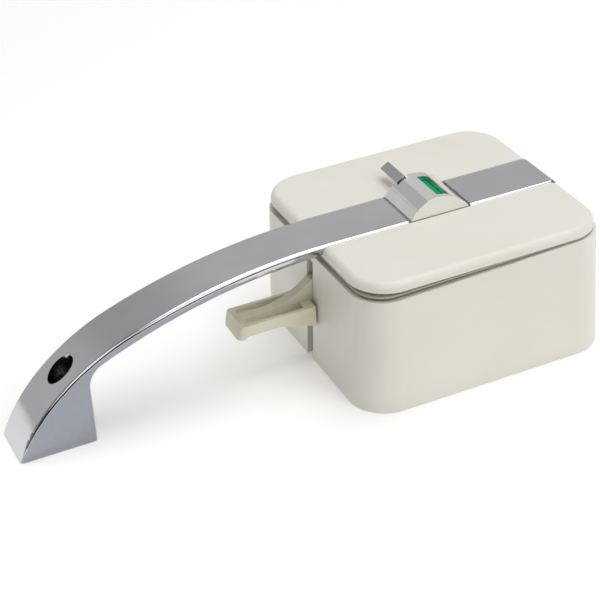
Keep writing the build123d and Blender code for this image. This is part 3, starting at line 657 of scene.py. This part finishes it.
# %% Inserts
def insert_tree():
    """One knurled sleeve, copied to every point."""
    tree, entry, leave = tree_with("knurled_inserts", {
        "Radius": "Float", "Bore": "Float", "Length": "Float", "Knurl": "Float", "Finish": "Material",
    })
    knurl = add(tree, "GeometryNodeCurveStar", {
        "Points": 36, "Inner Radius": maths(tree, entry["Radius"], entry["Knurl"], "SUBTRACT"),
        "Outer Radius": entry["Radius"],
    }).outputs[0]
    bore = add(tree, "GeometryNodeCurvePrimitiveCircle", {
        "Resolution": 36, "Radius": entry["Bore"],
    }).outputs[0]
    both = add(tree, "GeometryNodeJoinGeometry")
    tree.links.new(knurl, both.inputs[0])
    tree.links.new(bore, both.inputs[0])
    foot = add(tree, "GeometryNodeFillCurve", {"Curve": both.outputs[0]}).outputs[0]
    up = add(tree, "ShaderNodeCombineXYZ", {"Z": entry["Length"]}).outputs[0]
    wall = add(tree, "GeometryNodeExtrudeMesh", {
        "Mesh": foot, "Offset": up, "Offset Scale": 1.0, "Individual": False,
    }).outputs[0]
    underside = add(tree, "GeometryNodeFlipFaces", {"Mesh": foot}).outputs[0]
    shell = add(tree, "GeometryNodeJoinGeometry")
    tree.links.new(wall, shell.inputs[0])
    tree.links.new(underside, shell.inputs[0])
    sealed = add(tree, "GeometryNodeMergeByDistance", {
        "Geometry": shell.outputs[0], "Distance": SAME_PLACE,
    }).outputs[0]
    copies = add(tree, "GeometryNodeInstanceOnPoints", {
        "Points": entry["Geometry"], "Instance": sealed,
    }).outputs[0]
    real = add(tree, "GeometryNodeRealizeInstances", {"Geometry": copies}).outputs[0]
    painted = add(tree, "GeometryNodeSetMaterial", {"Geometry": real, "Material": entry["Finish"]})
    tree.links.new(painted.outputs[0], leave.inputs[0])
    return tree


BORE_RADIUS, KNURL_DEPTH = 1.65, 0.22
low, high = islands("case_inserts")[0]
from_points("case_inserts_knurled", "case_inserts", peg_feet("case_inserts"), insert_tree(), {
    "Radius": (high.x - low.x) / 2, "Bore": BORE_RADIUS * MM, "Length": high.z - low.z,
    "Knurl": KNURL_DEPTH * MM,
})

# %% [markdown]
# ## Spring wire
#
# The CAD keeps only the space of each spring. The real ones are wound from music wire, so each is one
# line along a helix, thickened to the wire's radius.

# %% Wire helper
WIRE_STEPS, TURN_STEPS = 3, 28  # how finely a wire is rounded, and a turn divided


def wire(name, node, points, wire_radius):
    """A round wire through the given points, in metres."""
    data = bpy.data.curves.new(name, "CURVE")
    data.dimensions = "3D"
    data.bevel_depth = wire_radius
    data.bevel_resolution = WIRE_STEPS
    data.use_fill_caps = True
    spline = data.splines.new("POLY")
    spline.points.add(len(points) - 1)
    for point, place in zip(spline.points, points):
        point.co = (*place, 1.0)
    source = bpy.data.objects.new(name + "_source", data)
    bpy.context.collection.objects.link(source)
    piece = baked(source, name, node)
    piece.data.shade_smooth()
    print(name, "points", len(points), "triangles", sum(len(p.vertices) - 2 for p in piece.data.polygons))
    return settle(piece, node)


# %% [markdown]
# ## The bolt's compression spring
#
# A compression spring has closed ends: its pitch is small over the first and last turn, so that it
# stands square. It rides with the bolt.

# %% Compression spring
def compression_spring():
    """The coil behind the bolt, from its bridge to the bolt's end."""
    low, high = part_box("latch_spring")
    wire_radius = 0.45 * MM
    coil_radius = (high.z - low.z) / 2 - wire_radius
    middle = (low + high) / 2
    turns = 9
    closed_pitch, closed_turns = 0.25, 0.8  # the closed ends: their pitch as a share, and their turns
    pitches, places = [0.0], []
    for i in range(turns * TURN_STEPS):
        turn = min(i, turns * TURN_STEPS - i) / TURN_STEPS
        opened = (1 - closed_pitch) * max(0.0, turn - closed_turns)
        pitches.append(pitches[-1] + min(1.0, closed_pitch + opened))
    span = high.x - low.x - 2 * wire_radius
    for i, distance in enumerate(pitches):
        angle = tau * i / TURN_STEPS
        places.append((low.x + wire_radius + span * distance / pitches[-1],
                       middle.y + coil_radius * cos(angle), middle.z + coil_radius * sin(angle)))
    piece = wire("latch_spring_coiled", "latch_spring", places, wire_radius)
    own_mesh(piece)


compression_spring()

# %% [markdown]
# ## The trigger's torsion spring
#
# A torsion spring is wound tight round the axle, and its two ends leave as straight legs: one lies along
# the trigger, and the other goes down towards the plate.

# %% Torsion spring
def torsion_spring():
    """A tight coil on the trigger's axle, with a leg at each end."""
    low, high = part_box("trigger_spring")
    axle_low, axle_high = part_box("trigger_axle")
    centre_x, centre_z = (axle_low.x + axle_high.x) / 2, (axle_low.z + axle_high.z) / 2
    wire_radius = 0.5 * MM
    coil_radius = high.x - centre_x - wire_radius
    turns = 3.75
    count = int(TURN_STEPS * turns)
    spare = 0.01 * MM
    lever_leg = (low.x + wire_radius, low.y + wire_radius + spare, centre_z - coil_radius)
    places = [lever_leg]
    start = -pi / 2
    for i in range(count + 1):
        angle = start + tau * i / TURN_STEPS
        share = i / count
        y = lever_leg[1] + share * (high.y - low.y - 2 * wire_radius - 2 * spare)
        places.append((centre_x + coil_radius * cos(angle), y, centre_z + coil_radius * sin(angle)))
    last = places[-1]
    places.append((last[0], last[1], low.z + wire_radius))
    wire("trigger_spring_wound", "trigger_spring", places, wire_radius)


torsion_spring()

# %% [markdown]
# ## Floor
#
# The lock lies on a wide sheet of matt white board. A trace of emission keeps the board pale right to
# its far edge, where the lamps fall off.

# %% Floor
def pale_sweep():
    """Matt white board with a trace of its own light."""
    material, tree, shader, place = finish_of("sweep_matt_board")
    grain = noise(tree, place, 2.0, 3.0)
    tree.links.new(two_tones(tree, grain, "#FBFBFA", "#F6F6F5"), shader.inputs["Base Color"])
    shader.inputs["Roughness"].default_value = 0.9
    shader.inputs["Emission Color"].default_value = linear("#FFFFFF")
    shader.inputs["Emission Strength"].default_value = 0.17
    return material


FLOOR_HALF = 3.0  # metres
FLOOR_GAP = 0.05 * MM
board = bpy.data.meshes.new("floor")
corners = [(-FLOOR_HALF, -FLOOR_HALF), (FLOOR_HALF, -FLOOR_HALF), (FLOOR_HALF, FLOOR_HALF),
           (-FLOOR_HALF, FLOOR_HALF)]
board.from_pydata([(x, y, cad_box[0].z - FLOOR_GAP) for x, y in corners], [], [(0, 1, 2, 3)])
board.materials.append(pale_sweep())
floor = bpy.data.objects.new("floor", board)
bpy.context.collection.objects.link(floor)
print("floor at, mm:", round(board.vertices[0].co.z / MM, 2))

# %% [markdown]
# ## Light
#
# A product like this is lit with large soft boxes over a pale sweep. The big box over the near side
# makes that wall lighter than the end wall, and the grey room between the boxes is what the flat top of
# the chrome mirrors, so the strip reads as an even grey instead of white. The small edge box draws the
# bright edge along the bow.

# %% Lights
def soft_box(name, place, aim, size, watts):
    """A square area light that faces a point."""
    data = bpy.data.lights.new(name, "AREA")
    data.shape = "RECTANGLE"
    data.size, data.size_y = size
    data.energy = watts
    lamp = bpy.data.objects.new(name, data)
    lamp.location = place
    lamp.rotation_euler = (Vector(aim) - Vector(place)).to_track_quat("-Z", "Y").to_euler()
    bpy.context.collection.objects.link(lamp)
    return lamp


edge_box = soft_box("edge_box", place=(-0.7, -0.8, 0.75), aim=(-0.1, 0.0, 0.03), size=(0.9, 0.7), watts=2.4)
edge_box.visible_diffuse = False  # it adds highlights, and no light on matt surfaces
soft_box("near_side_box", place=(0.35, -1.3, 0.95), aim=(0.0, 0.0, 0.02), size=(1.3, 1.7), watts=9.5)
soft_box("overhead_box", place=(0.25, -0.1, 1.5), aim=(0.0, 0.0, 0.0), size=(1.3, 1.3), watts=13.5)
print("soft boxes:", sorted(lamp.name for lamp in bpy.data.lights))

# %% [markdown]
# ## Cards that are seen only in reflections
#
# Chrome is drawn by what it mirrors. The black card rises away from the near side and puts a dark line
# under the bow's bright edge. The grey card lies flat beside the bow and quietens the foot. Both are
# hidden from the camera, and neither throws a shadow.

# %% Reflection cards
def reflection_card(name, finish, tones, across, edges):
    """A card that reaches across a range of x between two edges, each given as y and z in metres."""
    material, tree, shader, place = finish_of(finish)
    nap = noise(tree, place, 1.5, 3.0)
    tree.links.new(two_tones(tree, nap, *tones), shader.inputs["Base Color"])
    shader.inputs["Roughness"].default_value = 1.0
    shader.inputs["Specular IOR Level"].default_value = 0.0
    (left, right), (first, second) = across, edges
    mesh = bpy.data.meshes.new(name)
    mesh.from_pydata([(left, *first), (right, *first), (right, *second), (left, *second)], [],
                     [(0, 1, 2, 3)])
    mesh.materials.append(material)
    card = bpy.data.objects.new(name, mesh)
    bpy.context.collection.objects.link(card)
    card.visible_camera = False
    card.visible_diffuse = False
    card.visible_shadow = False


reflection_card("black_card", "felt_black", ("#060606", "#0A0A0A"), across=(-1.2, 1.2),
                edges=((-0.14, 0.002), (-0.5, 0.17)))
reflection_card("grey_card", "board_grey", ("#D2D4DC", "#CBCDD6"), across=(-0.18, -0.05),
                edges=((-0.085, 0.0003), (-0.0095, 0.0003)))
print("reflection cards: black_card and grey_card")

# %% [markdown]
# ## The grey room
#
# The world stands for a plain room. It is lightest high up on the far side and dark on the near side.
# A dim band in it, like a doorway, gives the flat chrome a slow change of tone.

# %% Room
TOWARDS_LIGHT = (0.0, 0.9, 0.36)
NEAR_EDGE, FAR_EDGE = -0.35, 0.95  # where the change of light starts and ends in that direction
DARKEST, LIGHTEST = 0.12, 0.62
DOOR_AT, DOOR_CORE, DOOR_REACH = -0.2, 0.04, 0.32  # its middle, and how far its two edges are from it
DOOR_DIM = 0.74


def grey_room():
    """A world whose light changes from the near side to the far side, with a dim doorway."""
    room = bpy.data.worlds.new("grey_room")
    room.use_nodes = True
    tree = room.node_tree
    towards = add(tree, "ShaderNodeTexCoord").outputs["Generated"]
    far_end = add(tree, "ShaderNodeVectorMath", {0: towards, 1: TOWARDS_LIGHT}, operation="DOT_PRODUCT")
    light = add(tree, "ShaderNodeMapRange", {
        "Value": far_end.outputs["Value"], "From Min": NEAR_EDGE, "From Max": FAR_EDGE,
        "To Min": DARKEST, "To Max": LIGHTEST,
    }, interpolation_type="SMOOTHSTEP").outputs[0]
    sideways = add(tree, "ShaderNodeSeparateXYZ", {0: towards}).outputs["X"]
    from_door = maths(tree, maths(tree, sideways, DOOR_AT, "SUBTRACT"), 0.0, "ABSOLUTE")
    doorway = add(tree, "ShaderNodeMapRange", {
        "Value": from_door, "From Min": DOOR_CORE, "From Max": DOOR_REACH, "To Min": DOOR_DIM,
        "To Max": 1.0,
    }, interpolation_type="SMOOTHSTEP").outputs[0]
    background = tree.nodes["Background"]
    background.inputs["Color"].default_value = linear("#FCFCFD")
    tree.links.new(maths(tree, light, doorway), background.inputs["Strength"])
    return room


bpy.context.scene.world = grey_room()
bpy.context.scene.view_settings.view_transform = "Standard"
print("world:", bpy.context.scene.world.name)

# %% [markdown]
# ## Camera
#
# The camera looks down on the lock from beyond the foot of the bow, with a long lens. Its place is
# worked out backwards: the view direction is known, and so is where the middle of the lock's back
# falls in the view.

# %% Camera
AZIMUTH, ELEVATION, ROLL = -23.51, 32.72, -3.25  # degrees
LENS, SENSOR = 98.9, 36.0  # millimetres
BACK_IN_VIEW = Vector((0.045828, -0.006699, -0.583049))  # metres, along the camera's own axes

data = bpy.data.cameras.new("camera")
data.lens, data.sensor_width = LENS, SENSOR
camera = bpy.data.objects.new("camera", data)
bpy.context.collection.objects.link(camera)
bpy.context.scene.camera = camera
away = Vector((sin(radians(AZIMUTH)) * cos(radians(ELEVATION)),
               -cos(radians(AZIMUTH)) * cos(radians(ELEVATION)), sin(radians(ELEVATION))))
right = Vector((cos(radians(AZIMUTH)), sin(radians(AZIMUTH)), 0.0))
level = Matrix((right, away.cross(right), away)).transposed()
turned = level @ Matrix.Rotation(radians(ROLL), 3, "Z")
camera.matrix_world = Matrix.Translation(-(turned @ BACK_IN_VIEW)) @ turned.to_4x4()
print("camera at, m:", [round(c, 3) for c in camera.matrix_world.translation])
